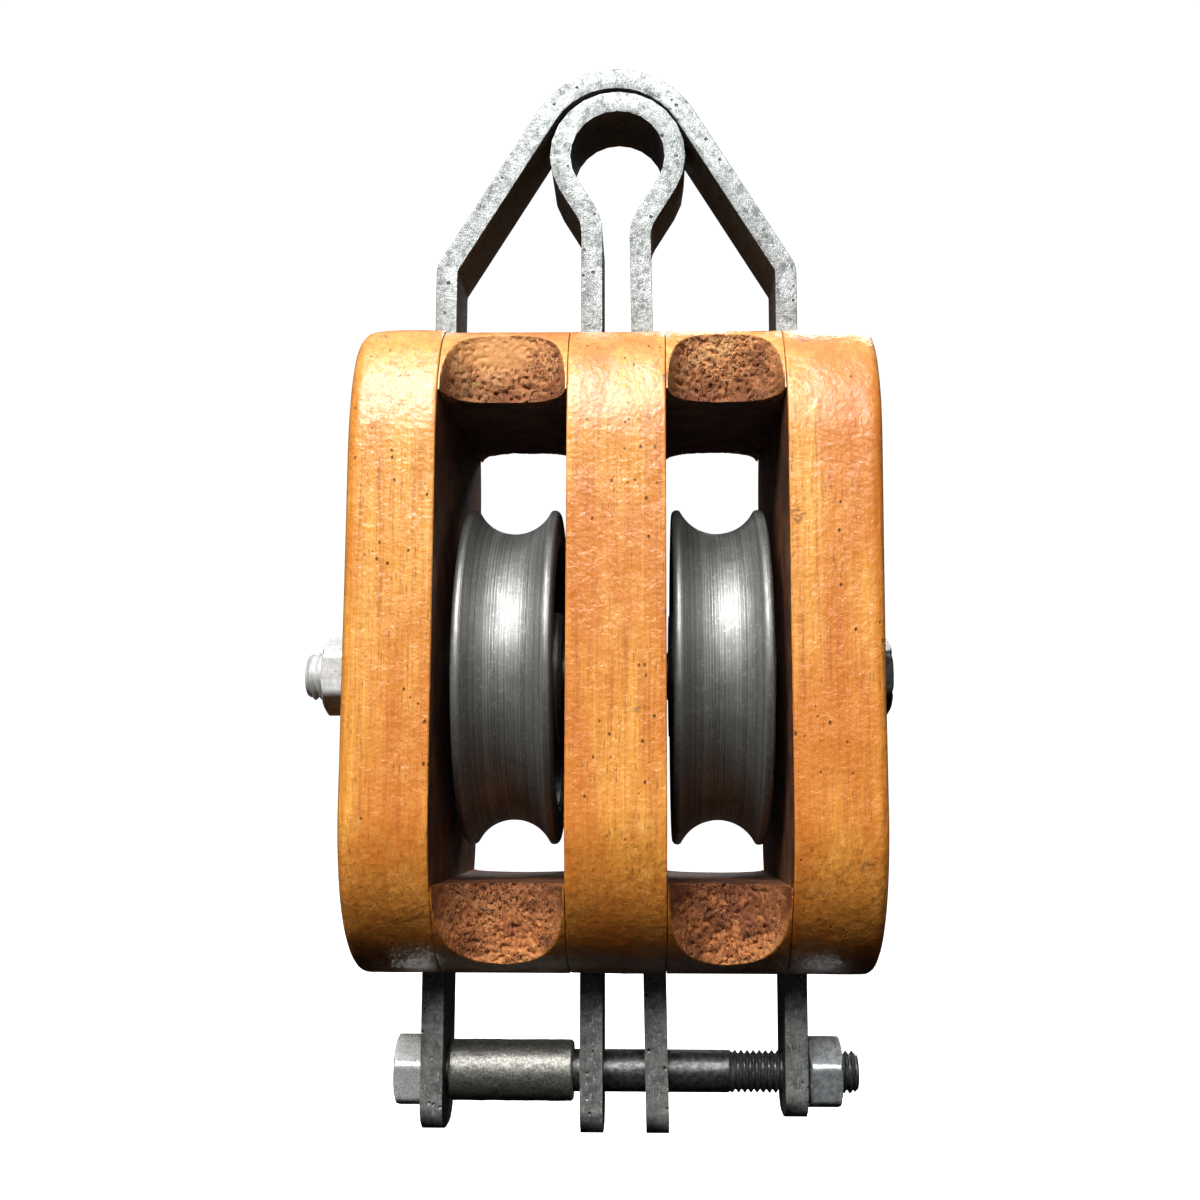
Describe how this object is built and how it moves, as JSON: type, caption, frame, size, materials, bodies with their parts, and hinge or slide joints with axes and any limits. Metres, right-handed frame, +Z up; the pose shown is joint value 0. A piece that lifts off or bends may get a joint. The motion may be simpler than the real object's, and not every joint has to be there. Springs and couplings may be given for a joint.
{
  "type": "double sheave block",
  "caption": "Wood-shell rope tackle block: grooved steel sheaves side by side on one bolt, galvanised strap ironwork with a fixed head eye, and a becket bolt with a loose spacer at the tail.",
  "frame": {"origin": "centre of the head eye, which the block hangs from", "axes": "+Z up from the becket towards the head eye, X along the sheave pin with the nut at -X, Y along the rope's run"},
  "size_m": [0.1473, 0.094, 0.2696],
  "materials": {
    "varnished_wood": "gloss varnish over straight grain",
    "raw_wood": "unvarnished, torn end grain in the rope scoops",
    "galvanised_steel": "hot-dip galvanised, mottled",
    "sheave_steel": "turned, circumferential marks",
    "bush_bronze": "machined",
    "bolt_steel": "dark, oiled",
    "zinc_steel": "zinc plated",
    "spacer_steel": "rough galvanised tube",
    "rivet_steel": "dull, flush in the wood"
  },
  "bodies": {
    "frame": {"cheek_left": "varnished_wood", "cheek_right": "varnished_wood", "centre_partition": "varnished_wood", "head_chock_left": "raw_wood", "head_chock_right": "raw_wood", "tail_chock_left": "raw_wood", "tail_chock_right": "raw_wood", "shell_rivet_head_front": "rivet_steel", "shell_rivet_head_rear": "rivet_steel", "shell_rivet_tail_front": "rivet_steel", "shell_rivet_tail_rear": "rivet_steel", "outer_strap": "galvanised_steel", "inner_strap": "galvanised_steel", "thrust_washer_left": "bolt_steel", "thrust_washer_right": "bolt_steel", "sheave_pin": "bolt_steel", "pin_washer": "zinc_steel", "pin_nut": "zinc_steel", "becket_bolt": "bolt_steel", "becket_nut": "zinc_steel"},
    "left_sheave": {"sheave_left": "sheave_steel", "sheave_bush_left": "bush_bronze"},
    "right_sheave": {"sheave_right": "sheave_steel", "sheave_bush_right": "bush_bronze"},
    "spacer": {"becket_spacer": "spacer_steel"}
  },
  "joints": [
    {"name": "sheave_left_spin", "type": "hinge", "parent": "frame", "child": "left_sheave", "pos_m": [-0.0258, 0, -0.135], "axis": [1, 0, 0], "continuous": true},
    {"name": "sheave_right_spin", "type": "hinge", "parent": "frame", "child": "right_sheave", "pos_m": [0.0251, 0, -0.135], "axis": [1, 0, 0], "continuous": true},
    {"name": "becket_spacer_spin", "type": "hinge", "parent": "frame", "child": "spacer", "pos_m": [-0.02565, 0, -0.2316], "axis": [1, 0, 0], "continuous": true}
  ]
}
